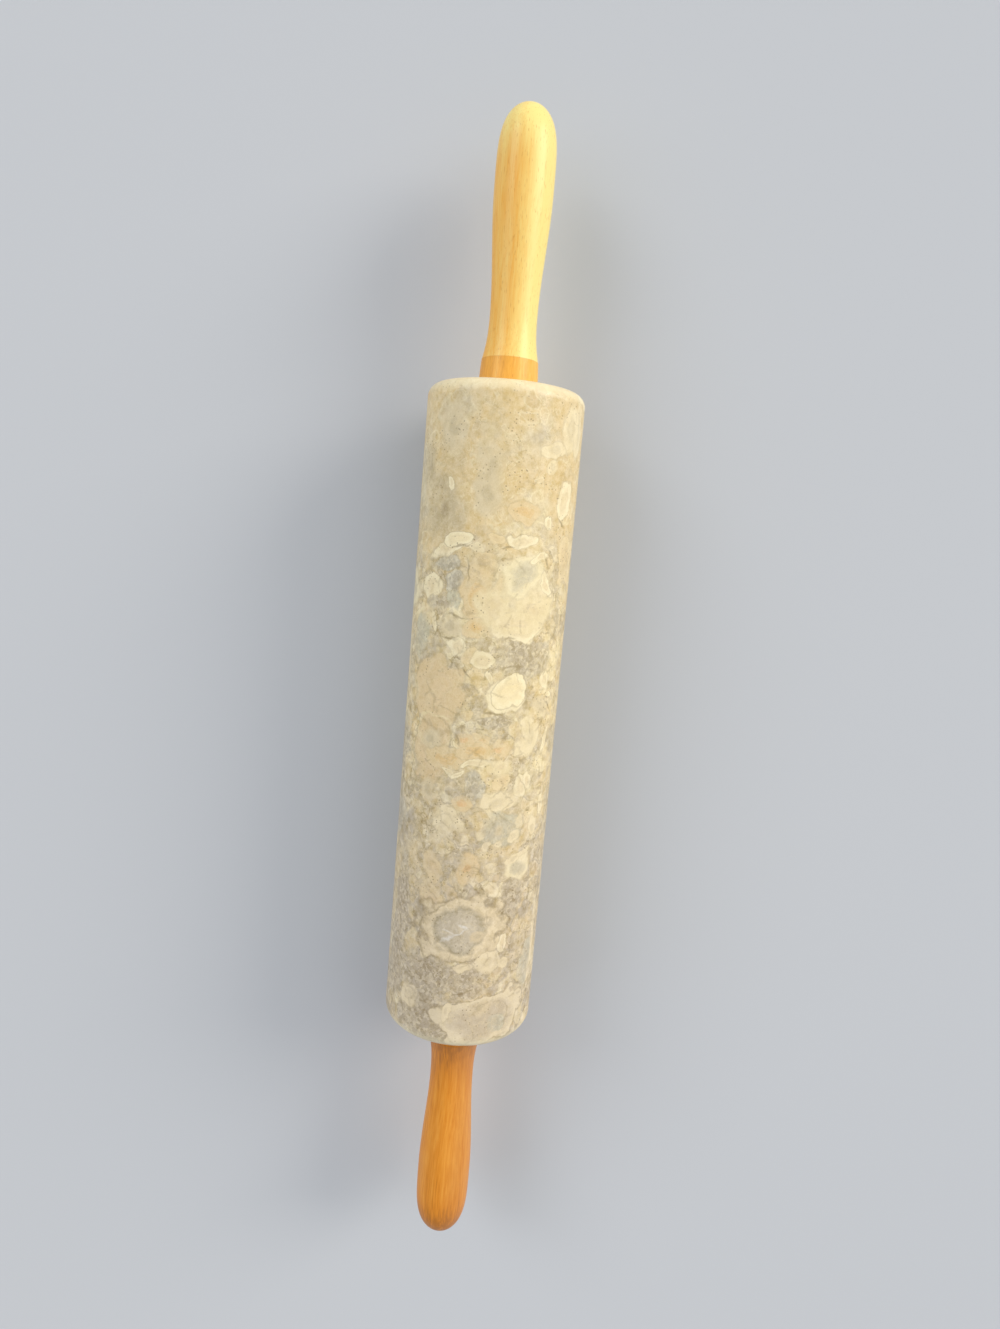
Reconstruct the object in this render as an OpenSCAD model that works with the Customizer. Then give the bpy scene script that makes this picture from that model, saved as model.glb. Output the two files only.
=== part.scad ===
// Stone rolling pin: a solid stone barrel that turns on a steel axle between two turned wooden handles.
// The pin lies along X. Its origin is on the axle's centre line, half way along the barrel.
// Stations along the pin are measured outwards from each end face of the barrel, negative inside it.

/* [Barrel] */
// Length of the stone barrel
barrel_len = 254; // [180:1:330]
// Diameter of the stone barrel
barrel_d = 60; // [46:0.5:80]
// Radius of the rounded edge at each end of the barrel
barrel_edge_r = 5; // [2:0.5:8]
// Diameter of the hole drilled right through the stone
barrel_bore_d = 14; // [12:0.5:18]

/* [Handles] */
// From the barrel's end face to the tip of a handle
handle_reach = 101.6; // [80:0.2:130]
// Running gap between the barrel's end face and the foot of a handle
handle_gap = 0.8; // [0.4:0.1:2]
// Diameter of the handle's foot, beside the barrel
foot_d = 22.8; // [19:0.2:28]
// Length of the foot, up to its turned edge
foot_len = 10.5; // [7:0.5:14]
// Diameter at the turned edge, where the foot ends
shoulder_d = 21.6; // [18.6:0.2:26]
// Smallest diameter of the neck
neck_d = 18; // [16:0.2:21.6]
// Station of the neck's smallest diameter
neck_at = 27; // [22:1:34]
// Largest diameter of the grip
grip_d = 22.2; // [18:0.2:28]
// Station of the grip's largest diameter
grip_at = 72; // [60:0.5:76]

/* [Axle] */
// Diameter of the axle between its shoulders
axle_d = 10; // [8.2:0.2:11.6]
// Outer diameter of the threads on the axle's ends
thread_d = 6; // [5:0.2:7.2]
// Pitch of those threads
thread_pitch = 1; // [0.8:0.05:1.25]
// Station where the thread ends, inside the handle
thread_end = 19; // [14:0.5:24]

/* [Bearings] */
// Bore of a ball bearing
bearing_bore = 8; // [7.4:0.1:9.6]
// Outer diameter of a ball bearing
bearing_od = 22; // [19:0.1:27]
// Width of a ball bearing
bearing_w = 7; // [5.8:0.1:9]
// How far a bearing's face lies inside the barrel's end face
bearing_recess = 2; // [1.4:0.1:2.4]
// Number of balls in a bearing
ball_count = 7; // [5:1:8]
// Diameter of a ball
ball_d = 3.97; // [3.2:0.01:4.8]
// Wall of the moulded cup around a bearing
cup_wall = 2; // [1.5:0.1:3]
// Width of the flange at the cup's mouth, beyond its wall
cup_flange = 1.5; // [1:0.1:3]
// Thickness of that flange
cup_flange_t = 1.2; // [0.8:0.1:1.6]

/* [Fasteners] */
// Outer diameter of the flat washer
washer_od = 12; // [10:0.1:14.4]
// Thickness of the flat washer
washer_t = 1.6; // [1.2:0.1:1.8]
// Thickness of the spring washer
spring_washer_t = 1.6; // [1.2:0.1:1.8]
// Width of the lock nut across its flats
nut_af = 10; // [8.2:0.1:12]
// Height of the lock nut
nut_h = 5; // [4:0.1:6]
// Outer diameter of the threaded insert
insert_d = 10; // [9:0.1:12]
// Length of the threaded insert
insert_len = 15; // [12:0.5:18]

/* [Fits] */
// Radial gap of parts that are pressed, screwed or glued together
press_gap = 0.02; // [0.01:0.01:0.04]
// Radial gap between a thread's crests and the part screwed on it
thread_gap = 0.05; // [0.03:0.01:0.1]
// Gap between a ball and the raceways around it
ball_gap = 0.07; // [0.04:0.01:0.09]

/* [Hidden] */
$fn = 96;

// Stations of the bearing's two faces
bearing_front = -bearing_recess;
bearing_back = bearing_front - bearing_w;

// The cup holds the bearing against a floor that only its outer ring rests on
cup_d = bearing_od + 2 * (cup_wall + press_gap);
cup_floor_t = 2;
cup_back = bearing_back - cup_floor_t;
cup_flange_d = cup_d + 2 * cup_flange;

// Rings, raceways and shields of the bearing
pitch_r = (bearing_bore + bearing_od) / 4;
race_r = ball_d / 2 + ball_gap;
race_depth = 0.6;
inner_ring_r = pitch_r - race_r + race_depth;
outer_ring_r = pitch_r + race_r - race_depth;
ring_chamfer = 0.3;
shield_t = 0.3;
shield_inset = 0.1;
shield_seat = 0.45;
shield_gap = 0.15;
cage_play = 0.2;
pocket_gap = 0.1;

// The stack of fasteners outside the bearing, each face on the next
washer_front = bearing_front + washer_t;
spring_washer_front = washer_front + spring_washer_t;
nut_front = spring_washer_front + nut_h;
washer_clearance = 0.2;
nut_across_corners = nut_af / cos(30);
nut_chamfer = 0.6;
spring_washer_od = washer_od - 0.4;
spring_washer_cut = 1.2;
spring_washer_skew = 20;

// The journal stops just short of the bearing's face, so that the washer clamps the inner ring
journal_stop = 0.1;
thread_depth = 0.6 * thread_pitch;
thread_chamfer = 0.8;

// Bores in the handle: a pocket for the nut, a seat for the insert and a blind pilot hole
nut_pocket_d = max(nut_across_corners, spring_washer_od) + 1.4;
insert_end = nut_front + insert_len;
insert_seat_d = insert_d + 2 * press_gap;
insert_ridge = 0.7;
insert_pitch = 2.5;
insert_slot = [1.3, 1.6];
pilot_d = thread_d + 1;
pilot_end = max(insert_end, thread_end) + 4;
drill_point = 59;

// The handle's tip is a long dome, and a higher power makes it blunter
tip_power = 4.2;
foot_edge_r = 0.7;
flare_power = 2.4;
foot_steps = 4;
flare_steps = 14;
swell_steps = 26;
tip_steps = 26;

// Small overlap that makes a cut break cleanly through a face
cut = 0.5;

// Puts what is modelled along +Z, from the barrel's end face outwards, at one end of the pin
module at_end(side) {
    mirror([side == "left" ? 1 : 0, 0, 0])
        translate([barrel_len / 2, 0, 0])
            rotate([0, 90, 0])
                children();
}

// A cylinder between two stations
module rod(d, from, to) {
    translate([0, 0, from])
        cylinder(d = d, h = to - from);
}

// A ring with square edges between two stations
module washer(od, id, from, to) {
    difference() {
        rod(od, from, to);
        rod(id, from - cut, to + cut);
    }
}

// A ring with chamfered edges between two stations, turned from one outline
module chamfered_ring(outer_r, inner_r, from, to) {
    c = ring_chamfer;
    rotate_extrude()
        polygon([
            [inner_r, from + c], [inner_r + c, from],
            [outer_r - c, from], [outer_r, from + c],
            [outer_r, to - c], [outer_r - c, to],
            [inner_r + c, to], [inner_r, to - c],
        ]);
}

// The groove that the balls run in
module raceway() {
    translate([0, 0, (bearing_front + bearing_back) / 2])
        rotate_extrude()
            translate([pitch_r, 0])
                circle(r = race_r, $fn = 48);
}

// Points of a screw thread's outline, drawn as rings one pitch apart
function thread_outline(r, depth, pitch, from, to) =
    let (turns = floor((to - from) / pitch))
    [for (i = [0 : turns - 1], k = [0, 1])
        [k == 0 ? r - depth : r, from + (i + (k == 0 ? 0.1 : 0.6)) * pitch]];

module stone_barrel() {
    color("tan")
        difference() {
            rotate([0, 90, 0])
                rotate_extrude($fn = 128)
                    barrel_outline();
            rotate([0, 90, 0])
                rod(barrel_bore_d, -barrel_len, barrel_len);
            for (side = ["left", "right"])
                at_end(side) {
                    rod(cup_d + 2 * press_gap, cup_back - press_gap, cut);
                    rod(cup_flange_d + 2 * press_gap, -cup_flange_t - press_gap, cut);
                }
        }
}

// Half of the barrel's section, with a round at each end
module barrel_outline() {
    half = barrel_len / 2;
    r = barrel_d / 2;
    union() {
        translate([0, -half])
            square([r - barrel_edge_r, barrel_len]);
        translate([0, -half + barrel_edge_r])
            square([r, barrel_len - 2 * barrel_edge_r]);
        for (end = [-1, 1])
            translate([r - barrel_edge_r, end * (half - barrel_edge_r)])
                circle(r = barrel_edge_r, $fn = 64);
    }
}

module axle_rod() {
    shoulder = barrel_len / 2 + bearing_back;
    color("silver") {
        rotate([0, 90, 0])
            rod(axle_d, -shoulder, shoulder);
        for (side = ["left", "right"])
            at_end(side) {
                rod(bearing_bore - 2 * press_gap, bearing_back, bearing_front - journal_stop);
                axle_thread(bearing_front - journal_stop);
            }
    }
}

// One threaded end of the axle, with a chamfered tip
module axle_thread(from) {
    r = thread_d / 2;
    plain = thread_end - thread_chamfer;
    rotate_extrude()
        polygon(concat(
            [[0, from], [r - thread_depth, from]],
            thread_outline(r, thread_depth, thread_pitch, from, plain),
            [[r - thread_depth, plain], [r - thread_chamfer, thread_end], [0, thread_end]]
        ));
}

// Radius of the handle at a share of the way along each stretch of its outline
function foot_r(u) = foot_d / 2 - (foot_d - shoulder_d) / 2 * u;
function flare_r(u) = neck_d / 2 + (shoulder_d - neck_d) / 2 * pow(1 - u, flare_power);
function swell_r(u) = neck_d / 2 + (grip_d - neck_d) / 2 * (1 - cos(180 * u)) / 2;
function tip_r(u) = grip_d / 2 * sqrt(max(0, 1 - pow(u, tip_power)));

// Half of the handle's outline, from its foot beside the barrel to its tip
function handle_outline() = concat(
    [[0, handle_gap]],
    [for (a = [-90 : 30 : 0])
        [foot_d / 2 + foot_edge_r * (cos(a) - 1), handle_gap + foot_edge_r * (1 + sin(a))]],
    [for (i = [1 : foot_steps]) let (u = i / foot_steps)
        [foot_r(u), handle_gap + foot_edge_r + u * (foot_len - handle_gap - foot_edge_r)]],
    [for (i = [1 : flare_steps]) let (u = i / flare_steps)
        [flare_r(u), foot_len + u * (neck_at - foot_len)]],
    [for (i = [1 : swell_steps]) let (u = i / swell_steps)
        [swell_r(u), neck_at + u * (grip_at - neck_at)]],
    [for (i = [1 : tip_steps]) let (u = sin(90 * i / tip_steps))
        [tip_r(u), grip_at + u * (handle_reach - grip_at)]]
);

module handle(side) {
    color("burlywood")
        at_end(side)
            difference() {
                rotate_extrude()
                    polygon(handle_outline());
                rod(nut_pocket_d, handle_gap - cut, nut_front);
                rod(insert_seat_d, nut_front - cut, insert_end + press_gap);
                rod(pilot_d, insert_end - cut, pilot_end);
                translate([0, 0, pilot_end])
                    cylinder(d1 = pilot_d, d2 = 0, h = pilot_d / 2 / tan(drill_point));
            }
}

// A brass sleeve with coarse ridges that bite into the wood and a slot to drive it by
module threaded_insert(side) {
    r = insert_d / 2;
    color("goldenrod")
        at_end(side)
            difference() {
                rotate_extrude()
                    polygon(concat(
                        [[0, nut_front], [r - insert_ridge, nut_front]],
                        thread_outline(r, insert_ridge, insert_pitch, nut_front + 1, insert_end),
                        [[r - insert_ridge, insert_end], [0, insert_end]]
                    ));
                rod(thread_d + 2 * thread_gap, nut_front - cut, insert_end + cut);
                translate([-insert_d, -insert_slot[0] / 2, nut_front - cut])
                    cube([2 * insert_d, insert_slot[0], insert_slot[1] + cut]);
            }
}

// A hexagon nut with its corners taken off at both faces
module lock_nut(side) {
    cone_r = nut_across_corners / 2 - nut_chamfer;
    slope = 2;
    color("lightgray")
        at_end(side)
            difference() {
                intersection() {
                    translate([0, 0, spring_washer_front])
                        cylinder(d = nut_across_corners, h = nut_h, $fn = 6);
                    translate([0, 0, spring_washer_front])
                        cylinder(r1 = cone_r, r2 = cone_r + slope * nut_h, h = nut_h);
                    translate([0, 0, spring_washer_front])
                        cylinder(r1 = cone_r + slope * nut_h, r2 = cone_r, h = nut_h);
                }
                rod(thread_d + 2 * thread_gap, spring_washer_front - cut, nut_front + cut);
            }
}

// A split ring, cut through at a slant
module spring_washer(side) {
    color("gray")
        at_end(side)
            difference() {
                washer(spring_washer_od, thread_d + 2 * washer_clearance, washer_front, spring_washer_front);
                translate([washer_od / 2, 0, (washer_front + spring_washer_front) / 2])
                    rotate([spring_washer_skew, 0, 0])
                        cube([washer_od, spring_washer_cut, 4 * spring_washer_t], center = true);
            }
}

module flat_washer(side) {
    color("silver")
        at_end(side)
            washer(washer_od, thread_d + 2 * washer_clearance, bearing_front, washer_front);
}

// A moulded cup pressed into the stone, which carries the bearing's outer ring
module bearing_cup(side) {
    floor_hole_d = 2 * outer_ring_r;
    color("whitesmoke")
        at_end(side)
            difference() {
                union() {
                    rod(cup_d, cup_back, 0);
                    rod(cup_flange_d, -cup_flange_t, 0);
                }
                rod(bearing_od + 2 * press_gap, bearing_back, cut);
                rod(floor_hole_d, cup_back - cut, cut);
            }
}

module bearing_inner_ring(side) {
    color("lightsteelblue")
        at_end(side)
            difference() {
                chamfered_ring(inner_ring_r, bearing_bore / 2, bearing_back, bearing_front);
                raceway();
            }
}

// The outer ring has a shallow seat at each face for its shield
module bearing_outer_ring(side) {
    seat_d = 2 * (outer_ring_r + shield_seat);
    seat_depth = shield_inset + shield_t;
    color("lightsteelblue")
        at_end(side)
            difference() {
                chamfered_ring(bearing_od / 2, outer_ring_r, bearing_back, bearing_front);
                raceway();
                rod(seat_d, bearing_back - cut, bearing_back + seat_depth);
                rod(seat_d, bearing_front - seat_depth, bearing_front + cut);
            }
}

module bearing_balls(side) {
    color("gainsboro")
        at_end(side)
            each_ball()
                sphere(d = ball_d, $fn = 32);
}

// Repeats its children at every ball
module each_ball() {
    for (i = [0 : ball_count - 1])
        rotate([0, 0, i * 360 / ball_count])
            translate([pitch_r, 0, (bearing_front + bearing_back) / 2])
                children();
}

// A moulded ring with a round pocket for each ball
module bearing_cage(side) {
    shield_room = shield_inset + shield_t + cage_play;
    color("ivory")
        at_end(side)
            difference() {
                washer(
                    2 * (outer_ring_r - cage_play), 2 * (inner_ring_r + cage_play),
                    bearing_back + shield_room, bearing_front - shield_room
                );
                each_ball()
                    rotate([0, 90, 0])
                        cylinder(r = ball_d / 2 + pocket_gap, h = pitch_r, center = true, $fn = 32);
            }
}

// A thin disc that closes one face of the bearing without touching the inner ring
module bearing_shield(side, from) {
    color("darkgray")
        at_end(side)
            washer(
                2 * (outer_ring_r + shield_seat - press_gap), 2 * (inner_ring_r + shield_gap),
                from, from + shield_t
            );
}

module bearing_front_shield(side) {
    bearing_shield(side, bearing_front - shield_inset - shield_t);
}

module bearing_back_shield(side) {
    bearing_shield(side, bearing_back + shield_inset);
}

stone_barrel();
axle_rod();
handle("left");  // handle_left
handle("right");  // handle_right
threaded_insert("left");  // threaded_insert_left
threaded_insert("right");  // threaded_insert_right
lock_nut("left");  // lock_nut_left
lock_nut("right");  // lock_nut_right
spring_washer("left");  // spring_washer_left
spring_washer("right");  // spring_washer_right
flat_washer("left");  // flat_washer_left
flat_washer("right");  // flat_washer_right
bearing_cup("left");  // bearing_cup_left
bearing_cup("right");  // bearing_cup_right
bearing_inner_ring("left");  // bearing_inner_ring_left
bearing_inner_ring("right");  // bearing_inner_ring_right
bearing_outer_ring("left");  // bearing_outer_ring_left
bearing_outer_ring("right");  // bearing_outer_ring_right
bearing_balls("left");  // bearing_balls_left
bearing_balls("right");  // bearing_balls_right
bearing_cage("left");  // bearing_cage_left
bearing_cage("right");  // bearing_cage_right
bearing_front_shield("left");  // bearing_front_shield_left
bearing_front_shield("right");  // bearing_front_shield_right
bearing_back_shield("left");  // bearing_back_shield_left
bearing_back_shield("right");  // bearing_back_shield_right
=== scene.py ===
"""Looks of a stone rolling pin: a fossil limestone barrel on ball bearings between two wooden handles.

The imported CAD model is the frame. It lies along X with its middle at the origin, and its right handle
is at +X.
"""

import math
import random

import bpy
from mathutils import Matrix, Vector


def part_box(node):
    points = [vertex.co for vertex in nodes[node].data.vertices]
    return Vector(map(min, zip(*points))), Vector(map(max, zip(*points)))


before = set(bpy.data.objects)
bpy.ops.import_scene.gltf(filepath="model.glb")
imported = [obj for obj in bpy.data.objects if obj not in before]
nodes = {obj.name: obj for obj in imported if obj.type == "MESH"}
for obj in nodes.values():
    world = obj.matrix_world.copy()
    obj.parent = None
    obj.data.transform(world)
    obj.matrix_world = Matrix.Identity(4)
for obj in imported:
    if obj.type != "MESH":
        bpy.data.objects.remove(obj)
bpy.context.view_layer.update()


# The photographer's place
# The photo was taken by hand from close above the pin, nearly straight down, with its right handle at
# the top of the picture. The pin's size and its outline in the photo give the camera's place and turn.
PHOTO_WIDTH = 1000
PHOTO_HEIGHT = 1329
FOCAL_PIXELS = 878.5
SENSOR_MM = 36
CAMERA_PLACE = Vector((0.0714, 0.0, 0.3467))
CAMERA_TURNS = {"X": -0.143, "Y": -0.017, "Z": 0.082}

picture_axes = Matrix(((0, 1, 0), (-1, 0, 0), (0, 0, 1)))
for axis, turn in CAMERA_TURNS.items():
    picture_axes = picture_axes @ Matrix.Rotation(turn, 3, axis)

lens = bpy.data.cameras.new("photo_camera")
lens.sensor_width = SENSOR_MM
lens.lens = FOCAL_PIXELS * SENSOR_MM / PHOTO_HEIGHT
lens.clip_start = 0.01
camera = bpy.data.objects.new("photo_camera", lens)
camera.matrix_world = Matrix.Translation(CAMERA_PLACE) @ picture_axes.to_4x4()
bpy.context.scene.collection.objects.link(camera)
bpy.context.scene.camera = camera


# Steel axle
# One ground steel rod runs through the barrel, turned down at both ends to bearing journals and M6
# threads. The lathe and the grinding wheel leave fine rings round it, and a thin film of oil dulls it.
def shade(red, green, blue):
    """A colour as a screen shows it, 0 to 255 a channel, in the linear numbers that a shader takes."""
    channels = [value / 255 for value in (red, green, blue)]
    linear = [c / 12.92 if c <= 0.04045 else ((c + 0.055) / 1.055) ** 2.4 for c in channels]
    return (*linear, 1.0)


class Field:
    """What one socket of a material's nodes gives over a surface. Operators on it add Math nodes."""

    def __init__(self, tree, socket):
        self.tree = tree
        self.socket = socket

    def add(self, kind, settings, inputs, output=0):
        """One more node: its settings are set first, then the values or links of its sockets."""
        node = self.tree.nodes.new(kind)
        for name, value in settings.items():
            if name == "stops":
                set_stops(node.color_ramp, value)
            else:
                setattr(node, name, value)
        for name, value in inputs.items():
            if isinstance(value, Field):
                self.tree.links.new(value.socket, node.inputs[name])
            else:
                node.inputs[name].default_value = value
        return Field(self.tree, node.outputs[output])

    def math(self, operation, first, second=0.0):
        return self.add("ShaderNodeMath", {"operation": operation}, {0: first, 1: second})

    def __add__(self, other):
        return self.math("ADD", self, other)

    def __sub__(self, other):
        return self.math("SUBTRACT", self, other)

    def __rsub__(self, other):
        return self.math("SUBTRACT", other, self)

    def __mul__(self, other):
        return self.math("MULTIPLY", self, other)

    def __truediv__(self, other):
        return self.math("DIVIDE", self, other)

    def __lt__(self, other):
        return self.math("LESS_THAN", self, other)

    def __abs__(self):
        return self.math("ABSOLUTE", self)

    __radd__ = __add__
    __rmul__ = __mul__

    def vector(self, operation, other, output=0):
        """Vector maths with another vector, or with one number for SCALE."""
        inputs = {0: self, "Scale" if operation == "SCALE" else 1: other}
        return self.add("ShaderNodeVectorMath", {"operation": operation}, inputs, output)

    def also(self, output):
        """Another output of the node that this field comes from."""
        return Field(self.tree, self.socket.node.outputs[output])

    def part(self, index):
        """One number out of a vector."""
        return self.add("ShaderNodeSeparateXYZ", {}, {0: self}, index)

    def channel(self, index):
        """One number out of a colour."""
        return self.add("ShaderNodeSeparateColor", {}, {0: self}, index)

    def stretched(self, along, across):
        """The same place, with lengths along the pin and across it counted in these units."""
        return self.vector("DIVIDE", (along, across, across))

    def noise(self, size, detail=2.0, roughness=0.5, output=0):
        """Soft random lumps about this size, from 0 to 1. Output 1 gives three at once as a colour."""
        inputs = {"Vector": self, "Scale": 1 / size, "Detail": detail, "Roughness": roughness}
        return self.add("ShaderNodeTexNoise", {}, inputs, output)

    def cells(self, size, feature="F1", output=0):
        """Random cells about this size: the distance to a cell's middle or edge, or its colour."""
        inputs = {"Vector": self, "Scale": 1 / size}
        return self.add("ShaderNodeTexVoronoi", {"feature": feature}, inputs, output)

    def ramp(self, stops):
        """Colours along this value. Each stop is a place from 0 to 1 and a colour."""
        return self.add("ShaderNodeValToRGB", {"stops": stops}, {0: self})

    def step(self, low, high):
        """0 below low and 1 above high, with a soft change between them."""
        inputs = {"Value": self, "From Min": low, "From Max": high}
        return self.add("ShaderNodeMapRange", {"interpolation_type": "SMOOTHSTEP"}, inputs)

    def mix(self, other, share, blend="MIX"):
        """This colour with a share of another laid over it."""
        settings = {"data_type": "RGBA", "blend_type": blend}
        return self.add("ShaderNodeMix", settings, {0: share, 6: self, 7: other}, 2)


def set_stops(ramp, stops):
    """Gives a colour ramp these stops, in place of the two that it starts with."""
    while len(ramp.elements) < len(stops):
        ramp.elements.new(0.5)
    for element, (position, colour) in zip(ramp.elements, stops):
        element.position = position
        element.color = colour


class Finish:
    """A material: its shader, and the place on the piece in millimetres for its patterns."""

    def __init__(self, name, constants):
        self.material = bpy.data.materials.new(name)
        self.material.use_nodes = True
        tree = self.material.node_tree
        self.shader = tree.nodes["Principled BSDF"]
        for socket, value in constants.items():
            self.shader.inputs[socket].default_value = value
        metres = Field(tree, tree.nodes.new("ShaderNodeTexCoord").outputs["Object"])
        self.place = metres.vector("SCALE", 1000.0)

    def wear(self, socket, field):
        """Lets a field drive one of the shader's sockets."""
        field.tree.links.new(field.socket, self.shader.inputs[socket])

    def relief(self, height, depth_mm):
        """Bumps the surface by a height from 0 to 1, this deep."""
        inputs = {"Height": height, "Distance": depth_mm / 1000, "Strength": 1.0}
        self.wear("Normal", height.add("ShaderNodeBump", {}, inputs))

    def put_on(self, *names):
        """Dresses these CAD nodes in the finish."""
        for name in names:
            mesh = nodes[name].data
            mesh.materials.clear()
            mesh.materials.append(self.material)


STAIN_MM = 9.0
RING_LENGTH_MM = 40.0


def metal(name, colour, stain, roughness, ring_mm, grain_mm, depth_mm):
    """A turned or rolled metal: rings round the pin's axis, a fine grain, and stained dull patches."""
    finish = Finish(name, {"Metallic": 1.0})
    place = finish.place
    rings = place.stretched(ring_mm, RING_LENGTH_MM).noise(1.0, detail=3.0)
    grain = place.noise(grain_mm, detail=3.0)
    patches = place.noise(STAIN_MM, detail=4.0, roughness=0.6).step(0.45, 0.7)
    clean = rings.ramp([(0.3, [0.86 * c for c in colour[:3]] + [1.0]), (0.7, colour)])
    finish.wear("Base Color", clean.mix(stain, patches * 0.45))
    finish.wear("Roughness", roughness + 0.16 * patches + 0.12 * (rings - 0.5) + 0.1 * (grain - 0.5))
    finish.relief(0.6 * rings + 0.4 * grain, depth_mm)
    return finish


GROUND_STEEL = shade(202, 203, 204)
OIL_FILM = shade(140, 132, 120)

metal("ground_axle_steel", GROUND_STEEL, OIL_FILM, 0.26, 0.35, 0.5, 0.006).put_on("axle_rod")


# Ball bearings
# One 8 x 22 x 7 mm bearing in each end carries the barrel: two hardened rings with polished grooves,
# seven lapped balls in a moulded cage, and a thin pressed shield at each side to keep flour out.
BEARING_STEEL = shade(208, 210, 213)
BALL_STEEL = shade(216, 218, 221)
SHIELD_STEEL = shade(186, 187, 188)
GREASE = shade(150, 138, 108)
NYLON = shade(214, 202, 170)
NYLON_DARK = shade(203, 188, 151)
SATIN_MM = 0.25
SATIN_DEPTH_MM = 0.008
DIRT_MM = 3.0


def moulded(name, colour, shadow, roughness, swirl_mm):
    """A moulded plastic: a faint flow pattern from the mould, a fine satin grain and slight dirt."""
    finish = Finish(name, {"IOR": 1.5})
    place = finish.place
    flow = place.noise(swirl_mm, detail=3.0, roughness=0.6)
    grain = place.noise(SATIN_MM, detail=2.0)
    dirt = place.noise(DIRT_MM, detail=5.0, roughness=0.7).step(0.55, 0.75)
    finish.wear("Base Color", flow.ramp([(0.3, shadow), (0.65, colour)]).mix(GREASE, 0.3 * dirt))
    finish.wear("Roughness", roughness + 0.1 * (grain - 0.5) + 0.12 * dirt)
    finish.relief(grain, SATIN_DEPTH_MM)
    return finish


bearing_finish = metal("hardened_ring_steel", BEARING_STEEL, GREASE, 0.16, 0.2, 0.4, 0.002)
ball_finish = metal("lapped_ball_steel", BALL_STEEL, GREASE, 0.08, 3.0, 1.5, 0.0005)
shield_finish = metal("pressed_shield_steel", SHIELD_STEEL, GREASE, 0.32, 0.9, 0.5, 0.006)
cage_finish = moulded("cage_nylon", NYLON, NYLON_DARK, 0.42, 2.5)
for side in ("left", "right"):
    bearing_finish.put_on(f"bearing_inner_ring_{side}", f"bearing_outer_ring_{side}")
    ball_finish.put_on(f"bearing_balls_{side}")
    shield_finish.put_on(f"bearing_front_shield_{side}", f"bearing_back_shield_{side}")
    cage_finish.put_on(f"bearing_cage_{side}")


# Bearing cups
# A moulded cup is pressed into a counterbore in each end of the stone, so that no steel bears on
# stone. Its flange is the ivory ring round the handle's foot, flush with the end face.
CUP_IVORY = shade(222, 212, 184)
CUP_SHADOW = shade(213, 202, 172)

cup_finish = moulded("moulded_cup", CUP_IVORY, CUP_SHADOW, 0.45, 6.0)
cup_finish.put_on("bearing_cup_left", "bearing_cup_right")


# Stone barrel
# A solid cylinder of fossil limestone, sold as marble: broken pieces of cream, tan and grey shell rock
# set in a fine sandy ground. It is bored, turned and honed to a soft polish, with its rims rounded over.
BARREL_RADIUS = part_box("stone_barrel")[1].z
BARREL_HALF_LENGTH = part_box("stone_barrel")[1].x

CREAM = shade(240, 224, 180)
PALE_CREAM = shade(250, 239, 202)
TAN = shade(229, 207, 162)
GOLD = shade(227, 204, 156)
OCHRE = shade(229, 198, 142)
SAND = shade(223, 207, 170)
SANDY_GREY = shade(210, 197, 168)
GREY = shade(197, 185, 159)
DIM_GREY = shade(180, 167, 141)
SEAM = shade(158, 142, 110)
PIT = shade(128, 108, 78)
SPAR = shade(240, 237, 222)
# The tint of the painted shade that darkens the stone towards its left end.
END_PAINTED_SHADE = shade(245, 243, 249)
MOTTLE_DARK = shade(138, 133, 125)
MOTTLE_LIGHT = shade(216, 216, 215)
CRYSTALS = [(0.0, (0.3, 0.3, 0.3, 1.0)), (0.5, (0.5, 0.5, 0.5, 1.0)), (1.0, SPAR)]


def clear(colour):
    """The same colour with nothing of it left, for the outer end of a piece's colours."""
    return (*colour[:3], 0.0)


def between(one, other, share):
    """A colour part of the way from one to another."""
    return tuple(a + share * (b - a) for a, b in zip(one, other))


def layers(core, rim, rim_from=0.6, seam=0.6, edge_from=0.8):
    """Colours of one piece from its middle, 0, to its edge, 1: a banded core, a rim and a dark seam."""
    dark = between(rim, SEAM, seam)
    return [
        (0.0, between(core, GREY, 0.12)),
        (0.3 * rim_from, core),
        (0.55 * rim_from, between(core, GREY, 0.15)),
        (0.8 * rim_from, between(core, rim, 0.4)),
        (rim_from, rim),
        (edge_from, rim),
        (0.5 + edge_from / 2, (*dark[:3], 0.5)),
        (1.0, clear(dark)),
    ]


def rock(name, stops, melt, salt):
    """One kind of rock, as a group of nodes that lays a piece of it over what is beneath."""
    tree = bpy.data.node_groups.new(name, "ShaderNodeTree")
    kinds = {"Beneath": "Color", "Place": "Vector", "Middle": "Vector", "Turn": "Vector"}
    kinds |= {"Size": "Vector", "Ragged": "Float", "Melt": "Float", "Salt": "Float"}
    for socket, kind in kinds.items():
        tree.interface.new_socket(socket, in_out="INPUT", socket_type=f"NodeSocket{kind}")
    tree.interface.new_socket("Laid", in_out="OUTPUT", socket_type="NodeSocketColor")
    sockets = tree.nodes.new("NodeGroupInput").outputs
    given = {socket.name: Field(tree, socket) for socket in sockets if socket.name}
    middle = given["Middle"]
    settings = {"rotation_type": "EULER_XYZ", "invert": True}
    inputs = {"Vector": given["Place"], "Center": middle, "Rotation": given["Turn"]}
    level = middle.add("ShaderNodeVectorRotate", settings, inputs)
    inside = level.vector("SUBTRACT", middle).vector("DIVIDE", given["Size"])
    outwards = inside.vector("LENGTH", (0, 0, 0), 1) + given["Ragged"]
    colours = outwards.ramp(stops)
    share = colours.also(1) * (1 - melt * given["Melt"] * outwards)
    if salt:
        colours = colours.mix(given["Salt"].ramp(CRYSTALS), salt, "LINEAR_LIGHT")
    laid = given["Beneath"].mix(colours, share)
    tree.links.new(laid.socket, tree.nodes.new("NodeGroupOutput").inputs[0])
    return tree


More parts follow.
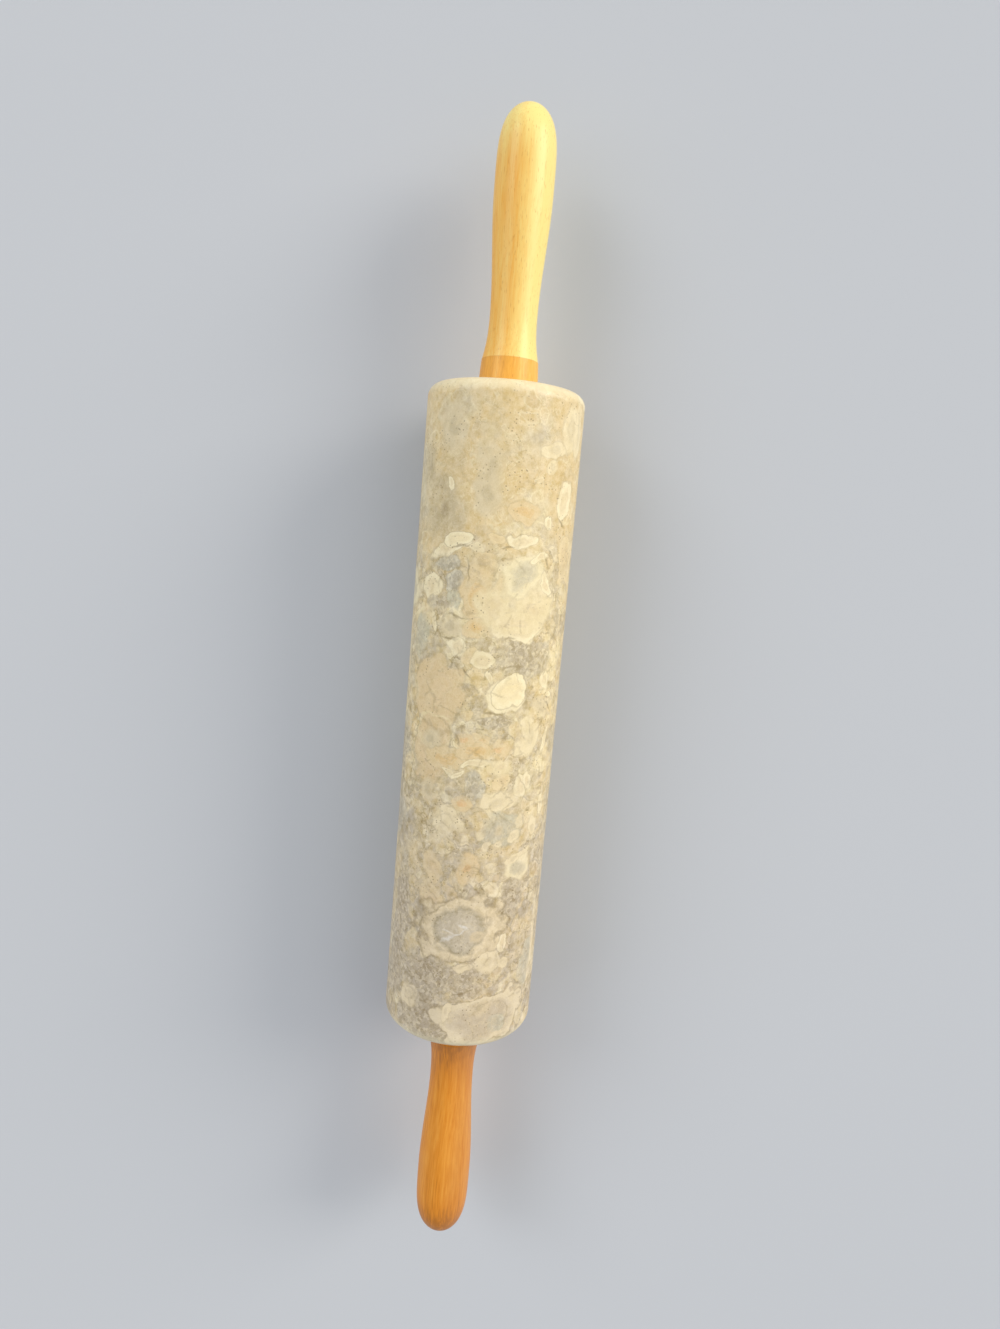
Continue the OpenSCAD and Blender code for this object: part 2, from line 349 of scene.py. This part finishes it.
SHELL_LAYERS = [
    (0.0, shade(214, 203, 176)), (0.35, shade(204, 193, 166)), (0.5, shade(186, 175, 146)),
    (0.6, shade(214, 200, 166)), (0.68, shade(236, 220, 182)), (0.84, shade(226, 210, 172)),
    (0.92, (*SEAM[:3], 0.6)), (1.0, clear(SEAM)),
]
ARC_LAYERS = [
    (0.0, clear(CREAM)), (0.8, clear(CREAM)),
    (0.88, (*CREAM[:3], 0.75)), (0.96, (*CREAM[:3], 0.6)), (1.0, clear(CREAM)),
]
SPAR_LAYERS = [(0.0, (*SPAR[:3], 0.8)), (0.4, (*SPAR[:3], 0.7)), (1.0, clear(SPAR))]
CREVICE_LAYERS = [(0.0, (*SEAM[:3], 0.85)), (0.4, (*SEAM[:3], 0.6)), (1.0, clear(SEAM))]

# Each kind of rock: the colours of one piece, how far it melts into its ground, and how much its
# crystals glitter.
ROCK_KINDS = {
    "cream": (layers(shade(238, 221, 180), shade(247, 234, 196)), 0.5, 0.0),
    "pale": (layers(shade(230, 215, 177), shade(239, 224, 185), 0.5, 0.35), 0.65, 0.0),
    "bright": (layers(shade(246, 229, 184), shade(248, 235, 195), 0.75, 0.8, 0.88), 0.1, 0.0),
    "tan": (layers(TAN, shade(234, 214, 170), 0.6, 0.4), 0.6, 0.0),
    "plain tan": (layers(shade(230, 206, 162), shade(224, 201, 157), 0.75, 0.7), 0.35, 0.0),
    "ochre": (layers(OCHRE, TAN, 0.5, 0.4), 0.75, 0.0),
    "orange": (layers(shade(234, 198, 147), TAN, 0.4, 0.2), 0.85, 0.0),
    "grey": (layers(shade(191, 178, 152), shade(196, 184, 158), 0.7, 0.2), 0.5, 0.3),
    "blue grey": (layers(shade(193, 184, 162), shade(202, 194, 172)), 0.5, 0.25),
    "green grey": (layers(shade(200, 193, 168), shade(206, 199, 172), 0.6, 0.2), 0.7, 0.12),
    "soft grey": (layers(shade(211, 196, 160), SAND, 0.4, 0.0, 0.6), 0.7, 0.0),
    "dim tan": (layers(shade(184, 167, 133), shade(204, 188, 152), 0.3, 0.0, 0.5), 0.8, 0.12),
    "ringed grey": (layers(shade(214, 204, 172), shade(241, 228, 188), 0.6, 0.25, 0.75), 0.3, 0.0),
    "soft cream": (layers(shade(234, 216, 174), shade(238, 222, 180), 0.5, 0.1, 0.7), 0.35, 0.0),
    "old shell": (layers(shade(210, 196, 166), shade(234, 220, 184), 0.75, 0.9, 0.88), 0.15, 0.0),
    "shell": (SHELL_LAYERS, 0.2, 0.12),
    "arc": (ARC_LAYERS, 0.5, 0.0),
    "spar": (SPAR_LAYERS, 0.5, 0.0),
    "crevice": (CREVICE_LAYERS, 0.4, 0.0),
}
ROCKS = {name: rock(name, *says) for name, says in ROCK_KINDS.items()}

# Each piece: the photo's column and row at its middle, its size along the pin and round it in
# millimetres, its turn in degrees and its rock. Later pieces lie over earlier ones.
PIECES_IN_PHOTO = [
    (455, 425, 24, 14, 0, "soft grey"),
    (490, 470, 34, 12, 0, "soft grey"),
    (443, 507, 30, 24, 0, "dim tan"),
    (487, 492, 17, 13, 0, "soft grey"),
    (570, 430, 22, 10, 0, "pale"),
    (525, 512, 9, 12, 10, "ochre"),
    (555, 452, 6, 15, 0, "pale"),
    (566, 560, 22, 16, -10, "tan"),
    (565, 500, 16, 9, -15, "cream"),
    (553, 470, 7, 6, -40, "pale"),
    (432, 465, 22, 9, 0, "dim tan"),
    # This long pale piece along the right edge is a painted highlight where that edge catches the light.
    (578, 430, 30, 8, 0, "pale"),
    (452, 484, 3, 5, -50, "cream"),
    (546, 523, 6, 6, -30, "cream"),
    (450, 547, 8, 24, 22, "cream"),
    (457, 539, 7, 14, 10, "bright"),
    (478, 548, 5, 6, 0, "pale"),
    (494, 540, 5, 8, -10, "tan"),
    (520, 542, 6, 13, 5, "cream"),
    (450, 565, 7, 13, 0, "blue grey"),
    (456, 583, 10, 8, 0, "blue grey"),
    (432, 587, 10, 14, 0, "cream"),
    (440, 604, 5, 16, 0, "grey"),
    (486, 562, 7, 11, 0, "tan"),
    (457, 600, 9, 8, 0, "green grey"),
    (513, 600, 30, 38, 5, "pale"),
    (480, 596, 28, 15, 5, "ochre"),
    (500, 590, 12, 9, 0, "tan"),
    (534, 612, 15, 20, 10, "soft cream"),
    (495, 608, 22, 16, 0, "soft cream"),
    (524, 577, 16, 20, 25, "ringed grey"),
    (540, 560, 3, 8, 30, "cream"),
    (546, 585, 12, 4, 20, "cream"),
    (522, 657, 16, 33, 0, "grey"),
    (451, 625, 9, 14, 0, "soft grey"),
    (474, 628, 9, 12, 0, "ochre"),
    (518, 630, 12, 26, 3, "cream"),
    (517, 623, 11, 29, 3, "soft cream"),
    (422, 632, 18, 12, 0, "green grey"),
    (434, 620, 10, 3, 8, "cream"),
    (456, 646, 7, 10, 0, "cream"),
    (470, 655, 6, 8, 20, "tan"),
    (484, 658, 8, 8, 20, "cream"),
    (430, 745, 40, 18, 0, "plain tan"),
    (436, 692, 30, 28, 0, "plain tan"),
    (490, 677, 7, 3, 30, "cream"),
    (507, 694, 15, 21, 15, "cream"),
    (511, 691, 12, 17, 20, "bright"),
    (544, 678, 9, 7, 20, "cream"),
    (548, 695, 5, 3, 60, "bright"),
    (540, 705, 9, 9, 10, "soft grey"),
    (432, 730, 15, 17, 0, "arc"),
    (430, 740, 10, 11, 0, "soft grey"),
    (495, 722, 6, 14, 0, "grey"),
    (528, 738, 18, 14, -15, "pale"),
    (543, 740, 14, 3, -8, "cream"),
    (468, 715, 7, 5, 0, "tan"),
    (456, 745, 6, 2, 40, "bright"),
    (497, 750, 8, 13, 0, "orange"),
    (480, 740, 6, 8, 0, "ochre"),
    (445, 757, 12, 22, 0, "ochre"),
    (474, 752, 9, 17, 4, "ochre"),
    (462, 742, 6, 9, 0, "orange"),
    (473, 785, 11, 10, 0, "blue grey"),
    (477, 765, 3, 18, 14, "cream"),
    (448, 775, 2, 8, -30, "cream"),
    (457, 776, 2, 7, 45, "cream"),
    (427, 790, 12, 8, 20, "soft grey"),
    (500, 780, 7, 7, 0, "tan"),
    (500, 768, 7, 12, 0, "soft cream"),
    (520, 785, 11, 8, 0, "cream"),
    (528, 778, 8, 5, 15, "cream"),
    (500, 802, 12, 18, 0, "pale"),
    (540, 800, 12, 4, 0, "cream"),
    (466, 800, 9, 8, 0, "grey"),
    (448, 820, 13, 15, 0, "pale"),
    (443, 826, 10, 11, 0, "pale"),
    (500, 830, 16, 20, 0, "green grey"),
    (520, 823, 6, 5, 0, "pale"),
    (513, 836, 5, 6, 30, "pale"),
    (532, 826, 8, 5, 0, "pale"),
    (480, 832, 5, 5, 0, "pale"),
    (497, 832, 5, 5, 0, "soft grey"),
    (498, 845, 4, 5, 20, "pale"),
    (486, 846, 4, 5, 45, "pale"),
    (518, 865, 12, 15, 10, "ringed grey"),
    (516, 857, 3, 14, 12, "pale"),
    (491, 866, 5, 5, 10, "pale"),
    (467, 868, 14, 10, 0, "orange"),
    (462, 805, 8, 8, 0, "orange"),
    (432, 865, 16, 8, 15, "tan"),
    (512, 900, 20, 12, 0, "grey"),
    (401, 905, 50, 14, 0, "grey"),
    (396, 965, 30, 14, 0, "grey"),
    (492, 889, 10, 7, 10, "cream"),
    (432, 900, 14, 12, 30, "tan"),
    (425, 975, 24, 30, 0, "grey"),
    (430, 1016, 28, 34, 0, "grey"),
    (524, 962, 22, 9, 0, "green grey"),
    (425, 948, 8, 4, 0, "pale"),
    (461, 928, 33, 38, 8, "shell"),
    (447, 937, 1.2, 8, 35, "spar"),
    (456, 933, 1.4, 9, 25, "spar"),
    (461, 926, 1.2, 7, -30, "spar"),
    (454, 927, 4, 1.2, 10, "spar"),
    (450, 931, 1.0, 6, -15, "spar"),
    (478, 938, 5, 7, 0, "soft grey"),
    (463, 976, 9, 20, 0, "grey"),
    (462, 971, 5, 9, 5, "pale"),
    (489, 962, 9, 14, 30, "pale"),
    (503, 943, 8, 5, 0, "cream"),
    (505, 960, 5, 5, 0, "pale"),
    (408, 992, 11, 11, 0, "pale"),
    (470, 990, 7, 16, 0, "grey"),
    (532, 930, 40, 3, 0, "cream"),
    (483, 1019, 24, 42, 8, "old shell"),
    (446, 1012, 12, 3, -20, "pale"),
    (480, 1008, 8, 14, 12, "soft grey"),
    (496, 1024, 8, 9, 0, "green grey"),
    (563, 521, 1.2, 7, -30, "crevice"),
    (545, 564, 8, 1.3, 30, "crevice"),
    (506, 549, 1.2, 7, 25, "crevice"),
    (462, 548, 1.4, 9, 8, "crevice"),
    (469, 570, 8, 1.2, 5, "crevice"),
    (456, 615, 1.2, 12, 2, "crevice"),
    (448, 637, 1.6, 9, -5, "crevice"),
    (506, 641, 1.4, 8, 0, "crevice"),
    (455, 664, 2, 3, 20, "crevice"),
    (469, 673, 1.2, 6, -40, "crevice"),
    (510, 669, 1.4, 8, 5, "crevice"),
    (491, 711, 1.4, 12, -12, "crevice"),
    (533, 686, 2, 2.5, 0, "crevice"),
    (546, 706, 1.4, 7, -45, "crevice"),
    (492, 727, 2, 4, 20, "crevice"),
    (457, 740, 7, 1.2, 30, "crevice"),
    (529, 813, 1.6, 2.5, 0, "crevice"),
    (434, 910, 18, 1.4, -40, "crevice"),
    (484, 888, 8, 1.2, 25, "crevice"),
    (459, 992, 1.4, 12, 20, "crevice"),
]

# The rock is whole and calm towards the right end, and a painted shade darkens it towards the left
# end. Each change lies between two places along the pin, in millimetres from its middle.
CALM_FROM = (58.0, 76.0)
PAINTED_SHADE_UP_TO = (-80.0, 10.0)
# The rims carry a painted highlight, pale cream where the rounded edge would catch the light: this
# far along the pin from its middle, and this far out from its axis.
RIM_HIGHLIGHT_FROM = (121.5, 125.0)
RIM_HIGHLIGHT_OUT_FROM = (22.0, 27.0)

# Broken pieces are strewn over the whole stone in three sizes: millimetres across, share of the stone,
# how much their colour covers, and a shift that keeps one pattern off another.
STREWN = [
    (14.0, 0.6, 0.7, (0, 0, 0)),
    (6.0, 0.75, 0.55, (31, 17, 5)),
    (2.3, 0.6, 0.38, (11, 47, 23)),
]

# The rock was bent and crushed as it set. Each shift has lumps this size and spans this much, in
# millimetres.
BEND = (12.0, 8.0)
CRUMBLE = (2.4, 1.2)
CHIPS = (1.1, 0.3)
# The clouds in its colour, and how much they carry the changes at its ends to and fro along the pin.
CLOUD_MM = 20.0
WANDER_MM = 60.0
# The sizes of its finer marks, in millimetres from one to the next.
CRACK_MM = 9.0
VEIN_MM = 5.0
MOTTLE_MM = 2.6
PIT_MM = 1.5
CRYSTAL_MM = 1.2
GRAIN_MM = 0.5
GRAIN_DEPTH_MM = 0.05

# The photo doesn't show the underside, so its pieces lie at random.
UNSEEN_PIECES = 70
UNSEEN_ROCKS = (
    "cream", "pale", "tan", "plain tan", "ochre",
    "grey", "blue grey", "soft grey", "ringed grey", "arc",
)


def on_barrel(column, row):
    """The point of the barrel's round that this pixel of the photo shows, in metres."""
    across = (column - PHOTO_WIDTH / 2) / FOCAL_PIXELS
    down = (row - PHOTO_HEIGHT / 2) / FOCAL_PIXELS
    ray = picture_axes @ Vector((across, -down, -1))
    a = ray.y ** 2 + ray.z ** 2
    b = CAMERA_PLACE.y * ray.y + CAMERA_PLACE.z * ray.z
    c = CAMERA_PLACE.y ** 2 + CAMERA_PLACE.z ** 2 - BARREL_RADIUS ** 2
    nearest = (-b - math.sqrt(max(b * b - a * c, 0.0))) / a
    return CAMERA_PLACE + nearest * ray


def shift(place, size, span, detail=3.0):
    """A random shift of a place, in lumps of this size and this span."""
    push = place.noise(size, detail=detail, output=1)
    return push.vector("SUBTRACT", (0.5, 0.5, 0.5)).vector("SCALE", span)


def strewn(colour, place, size, share, strength, seams):
    """Strews broken pieces of about this size over a share of the stone, each of one rock's colour."""
    tint = place.cells(size, output=1)
    edge = place.cells(size, "DISTANCE_TO_EDGE")
    here = tint.channel(1) < share
    body = here * edge.step(0.0, 0.12)
    rim = body * (tint.channel(2) < 0.3) * (1 - edge.step(0.08, 0.18))
    seam = here * (1 - edge.step(0.0, 0.08)) * seams
    rocks = [
        (0.0, DIM_GREY), (0.2, SANDY_GREY), (0.45, SAND),
        (0.65, TAN), (0.85, CREAM), (1.0, PALE_CREAM),
    ]
    colour = colour.mix(tint.channel(0).ramp(rocks), strength * body)
    colour = colour.mix(PALE_CREAM, 0.4 * rim)
    return colour.mix(SEAM, 0.42 * seam)


def stone():
    """The honed fossil limestone of the barrel."""
    finish = Finish("honed_fossil_limestone", {"IOR": 1.5, "Specular IOR Level": 0.35})
    place = finish.place
    bent = place.vector("ADD", shift(place, *BEND)).vector("ADD", shift(place, *CRUMBLE))
    chipped = bent.vector("ADD", shift(bent, *CHIPS, detail=2.0))
    ragged = 0.5 * (place.noise(5.5, detail=2.0) - 0.5) + 0.3 * (place.cells(7.0) - 0.5)
    melt = place.noise(8.0, detail=3.0).step(0.42, 0.62)
    cloud = place.noise(CLOUD_MM, detail=4.0, roughness=0.6)
    along = place.part(0)
    wandering = along + WANDER_MM * (cloud - 0.5)
    broken = 1 - 0.65 * wandering.step(*CALM_FROM)
    seams = place.noise(7.0, detail=4.0, roughness=0.65).step(0.46, 0.6) * broken
    salt = 0.75 * place.cells(CRYSTAL_MM, output=1).channel(0) + 0.5 * place.noise(0.8) - 0.12

    warmth = 0.35 * along / (1000 * BARREL_HALF_LENGTH) + 2.2 * (cloud - 0.5) + 0.5
    colour = warmth.ramp([(0.2, GREY), (0.5, SAND), (0.8, GOLD)])
    for size, share, strength, moved in STREWN:
        colour = strewn(colour, bent.vector("ADD", moved), size, share, strength * broken, seams)
    mottle = place.noise(MOTTLE_MM, detail=5.0, roughness=0.6)
    mottled = mottle.ramp([(0.3, MOTTLE_DARK), (0.7, MOTTLE_LIGHT)])
    colour = colour.mix(mottled, 0.06 + 0.11 * broken, "LINEAR_LIGHT")

    laid = [(on_barrel(column, row), *rest) for column, row, *rest in PIECES_IN_PHOTO]
    chance = random.Random(7)
    for _ in range(UNSEEN_PIECES):
        turn_back = chance.uniform(math.radians(75), math.radians(285))
        x = chance.uniform(-1, 1) * BARREL_HALF_LENGTH
        spot = Vector((x, -BARREL_RADIUS * math.sin(turn_back), BARREL_RADIUS * math.cos(turn_back)))
        size = chance.uniform(4, 22)
        width = size * chance.uniform(0.6, 1.6)
        laid.append((spot, size, width, chance.uniform(-45, 45), chance.choice(UNSEEN_ROCKS)))
    for spot, length, width, turn, name in laid:
        round_the_pin = Matrix.Rotation(math.atan2(-spot.y, spot.z), 3, "X")
        axes = round_the_pin @ Matrix.Rotation(math.radians(turn), 3, "Z")
        inputs = {
            "Beneath": colour,
            "Place": chipped,
            "Middle": spot * 1000,
            "Turn": axes.to_euler(),
            "Size": (length / 2, width / 2, max(length, width) / 2),
            "Ragged": ragged,
            "Melt": melt,
            "Salt": salt,
        }
        colour = place.add("ShaderNodeGroup", {"node_tree": ROCKS[name]}, inputs)

    cracks = (1 - chipped.cells(CRACK_MM, "DISTANCE_TO_EDGE").step(0.0, 0.07)) * seams
    colour = colour.mix(SEAM, 0.32 * cracks)
    veins = 1 - abs(chipped.noise(VEIN_MM, detail=2.0) - 0.5).step(0.004, 0.03)
    colour = colour.mix(CREAM, 0.25 * veins * broken)

    grain = place.noise(GRAIN_MM, detail=3.0, roughness=0.6)
    grained = (0.5 * grain + 0.5 * mottle).ramp([(0.33, MOTTLE_DARK), (0.67, MOTTLE_LIGHT)])
    colour = colour.mix(grained, 0.15, "LINEAR_LIGHT")
    # A painted shade: the stone is multiplied darker towards its left end, where less light would fall.
    dull = 1 - wandering.step(*PAINTED_SHADE_UP_TO)
    colour = colour.mix(END_PAINTED_SHADE, dull, "MULTIPLY")
    where = place.noise(10.0, detail=3.0).step(0.45, 0.62)
    pits = (1 - place.cells(PIT_MM).step(0.12, 0.24)) * where
    colour = colour.mix(PIT, 0.6 * pits)
    # A painted highlight: the rounded rims at both ends are mixed towards pale cream.
    out = place.vector("MULTIPLY", (0, 1, 1)).vector("LENGTH", (0, 0, 0), 1)
    rim = abs(along).step(*RIM_HIGHLIGHT_FROM) * out.step(*RIM_HIGHLIGHT_OUT_FROM)
    colour = colour.mix(PALE_CREAM, 0.5 * rim)

    finish.wear("Base Color", colour)
    finish.wear("Roughness", 0.36 + 0.18 * (mottle - 0.5) + 0.3 * pits)
    finish.relief(0.4 * grain + 0.3 * mottle - 0.8 * pits, GRAIN_DEPTH_MM)
    return finish


stone().put_on("stone_barrel")


# Washers and lock nuts
# A flat washer, a spring washer and a zinc plated M6 nut on each thread clamp the inner ring to the
# axle's shoulder. They sit inside the handle's counterbore.
ZINC = shade(206, 208, 205)
ZINC_BLOOM = shade(170, 170, 160)

fastener_finish = metal("zinc_plated_steel", ZINC, ZINC_BLOOM, 0.3, 1.2, 0.35, 0.01)
for side in ("left", "right"):
    fastener_finish.put_on(f"flat_washer_{side}", f"spring_washer_{side}", f"lock_nut_{side}")


# Threaded inserts
# A turned brass insert is driven into a hole in each handle's foot. By it the handle screws onto the
# axle's end. Nothing of it shows until the handle is off.
BRASS = shade(216, 182, 104)
BRASS_TARNISH = shade(150, 112, 60)

metal("turned_brass", BRASS, BRASS_TARNISH, 0.28, 0.3, 0.5, 0.008).put_on(
    "threaded_insert_left", "threaded_insert_right"
)


# Handles
# Each handle is turned from one straight-grained hardwood blank, sanded and dipped in clear satin
# lacquer. The right handle is pale honey; the left one is a deeper orange brown, partly a tint of its
# own and partly a painted shade, a darker copy of the same wood for the shade it lies in.
FOOT_LENGTH_MM = 10.5
FOOT_EDGE_MM = 1000 * BARREL_HALF_LENGTH + FOOT_LENGTH_MM
GROWTH_RING_MM = 2.2
FIBRE_DEPTH_MM = 0.03
# Sizes of the wood's marks along the pin and across it, in millimetres.
SWAY = (55.0, 12.0)
CLOUDS = (34.0, 9.0)
PORES = (3.4, 0.3)
# The brown of the painted shade on the handle's neck and on its side towards the light.
PAINTED_SHADE_BROWN = shade(146, 112, 90)
# Millimetres beyond the foot: the painted light and shade on the flare fades out between the first two
# places, and the painted light and shade on the tip comes in between the second two.
FLARE = (-4.0, 26.0)
TIP = (66.0, 88.0)


def turned_wood(
    name, pale, deep, dash, streak, figure, pore, lit_side_tone, flare_light_and_shade, tip_light_and_shade, painted_shade, pith, seed
):
    """Lacquered hardwood with its grain along the pin: soft growth rings, fine streaks and pore dashes.

    The side towards the light is painted paler, a painted highlight; the foot is painted darker and the
    flare and tip lighter on one handle and darker on the other, painted light and shade; a thin darker
    line stands where the foot ends; and a painted shade darkens the neck and the side towards the light.
    """
    finish = Finish(name, {"Coat Roughness": 0.25, "IOR": 1.45, "Specular IOR Level": 0.3})
    place = finish.place.vector("ADD", (seed, 0, 0))
    sway = place.stretched(*SWAY).noise(1.0, detail=2.0, output=1).vector("SCALE", 4.0)
    grown = place.vector("ADD", sway)
    from_pith = grown.vector("MULTIPLY", (0, 1, 1)).vector("ADD", (0, *pith))
    rings = from_pith.vector("LENGTH", (0, 0, 0), 1) / GROWTH_RING_MM
    bands = rings.math("PINGPONG", rings, 1.0)
    streaks = grown.stretched(24.0, streak).noise(1.0, detail=3.0, roughness=0.6)
    fibres = grown.stretched(11.0, 0.6 * streak).noise(1.0, detail=2.0)
    clouds = place.stretched(*CLOUDS).noise(1.0, detail=3.0)
    # The side of the handle towards the light, at -Y: painted paler as a painted highlight, and on the
    # left handle also darkened by the painted shade further down.
    right_side_light_and_shade = 1 - (place.part(1) + 8 * (clouds - 0.5)).step(-6.5, 2.5)

    beyond_foot = abs(finish.place.part(0)) - FOOT_EDGE_MM
    foot = 1 - beyond_foot.step(-0.1, 0.2)
    flare = (1 - foot) * (1 - beyond_foot.step(*FLARE))
    edge = beyond_foot.step(-0.4, 0.0) * (1 - beyond_foot.step(0.0, 0.3))
    tone = 0.07 + 0.08 * bands + 0.28 * streaks + figure * (fibres - 0.5) + 0.3 * clouds
    # Painted light and shade: the foot is darkened, and the flare and tip are lightened on the right
    # handle and darkened on the left.
    tone = tone + (lit_side_tone - 0.2 * foot) * right_side_light_and_shade - 0.16 * foot
    tone = tone + flare_light_and_shade * flare + tip_light_and_shade * beyond_foot.step(*TIP)
    woods = [(0.1, between(deep, dash, 0.6)), (0.3, deep), (0.72, pale)]
    colour = tone.ramp(woods).mix(dash, 0.22 * edge)
    dashes = place.stretched(*PORES).noise(1.0, detail=1.0).step(0.64, 0.74)
    colour = colour.mix(dash, pore * dashes)
    # A painted shade: the neck and the side towards the light are darkened brown, in random patches.
    colour = colour.mix(PAINTED_SHADE_BROWN, painted_shade * (0.5 * flare + 0.5 * right_side_light_and_shade + 0.4 * (clouds - 0.5)))

    finish.wear("Base Color", colour)
    finish.wear("Roughness", 0.44 + 0.15 * (streaks - 0.5) + 0.1 * dashes)
    finish.wear("Coat Weight", 0.2 + 0.2 * (clouds - 0.5))
    finish.relief(0.4 * streaks - 0.6 * dashes, FIBRE_DEPTH_MM)
    return finish


PALE_WOOD = {
    "pale": shade(250, 229, 142),
    "deep": shade(243, 179, 76),
    "dash": shade(196, 130, 50),
    "streak": 0.7,
    "figure": 0.25,
    "pore": 0.5,
    "lit_side_tone": 0.34,
    "flare_light_and_shade": 0.03,
    "tip_light_and_shade": 0.28,
    "painted_shade": 0.04,
    "pith": (9.0, -14.0),
    "seed": 0.0,
}
# The left handle: a deeper tint of the wood, partly a painted shade for the shade it lies in.
DEEP_AND_SHADED_WOOD = {
    "pale": shade(240, 168, 66),
    "deep": shade(218, 136, 32),
    "dash": shade(160, 96, 24),
    "streak": 1.4,
    "figure": 0.6,
    "pore": 0.14,
    "lit_side_tone": 0.06,
    "flare_light_and_shade": -0.22,
    "tip_light_and_shade": -0.3,
    "painted_shade": 0.44,
    "pith": (-12.0, -10.0),
    "seed": 400.0,
}
turned_wood("pale_handle_wood", **PALE_WOOD).put_on("handle_right")
turned_wood("deep_and_shaded_handle_wood", **DEEP_AND_SHADED_WOOD).put_on("handle_left")


# Table and light
# A plain pale grey table top under soft even light. The strongest comes low from the right of the
# picture, as from a window, and weaker light comes from above it and from the left.
TABLE_SIZE = 60.0
TABLE_GREY = shade(196, 200, 206)
LAMPS = {
    "window": {"from": (0.42, -0.75, 0.34), "strength": 1.78, "spread": 30, "colour": (1.0, 0.94, 0.84)},
    "wall_lamp": {"from": (0.4, 0.5, 0.4), "strength": 0.75, "spread": 30, "colour": (1.0, 1.0, 1.0)},
    "high_lamp": {"from": (0.5, -0.8, 0.8), "strength": 0.75, "spread": 50, "colour": (1.0, 0.96, 0.9)},
    "far_lamp": {"from": (0.1, 0.8, 0.7), "strength": 0.5, "spread": 50, "colour": (0.97, 0.98, 1.0)},
}
ROOM_COLOUR = (0.95, 0.97, 1.0, 1.0)
ROOM_STRENGTH = 0.45

half = TABLE_SIZE / 2
top = bpy.data.meshes.new("table_top")
outline = ((-half, -half), (half, -half), (half, half), (-half, half))
top.from_pydata([(x, y, -BARREL_RADIUS) for x, y in outline], [], [(0, 1, 2, 3)])
table = bpy.data.objects.new("table_top", top)
bpy.context.scene.collection.objects.link(table)
matt = {"Base Color": TABLE_GREY, "Roughness": 0.9, "Specular IOR Level": 0.2}
table_finish = Finish("table_top", matt)
top.materials.append(table_finish.material)

for name, says in LAMPS.items():
    lamp = bpy.data.lights.new(name, "SUN")
    lamp.energy = says["strength"]
    lamp.angle = math.radians(says["spread"])
    lamp.color = says["colour"]
    holder = bpy.data.objects.new(name, lamp)
    holder.location = says["from"]
    holder.rotation_euler = (-Vector(says["from"])).to_track_quat("-Z", "Y").to_euler()
    bpy.context.scene.collection.objects.link(holder)

room = bpy.data.worlds.new("room")
room.use_nodes = True
room.node_tree.nodes["Background"].inputs["Color"].default_value = ROOM_COLOUR
room.node_tree.nodes["Background"].inputs["Strength"].default_value = ROOM_STRENGTH
bpy.context.scene.world = room
bpy.context.scene.view_settings.view_transform = "Standard"
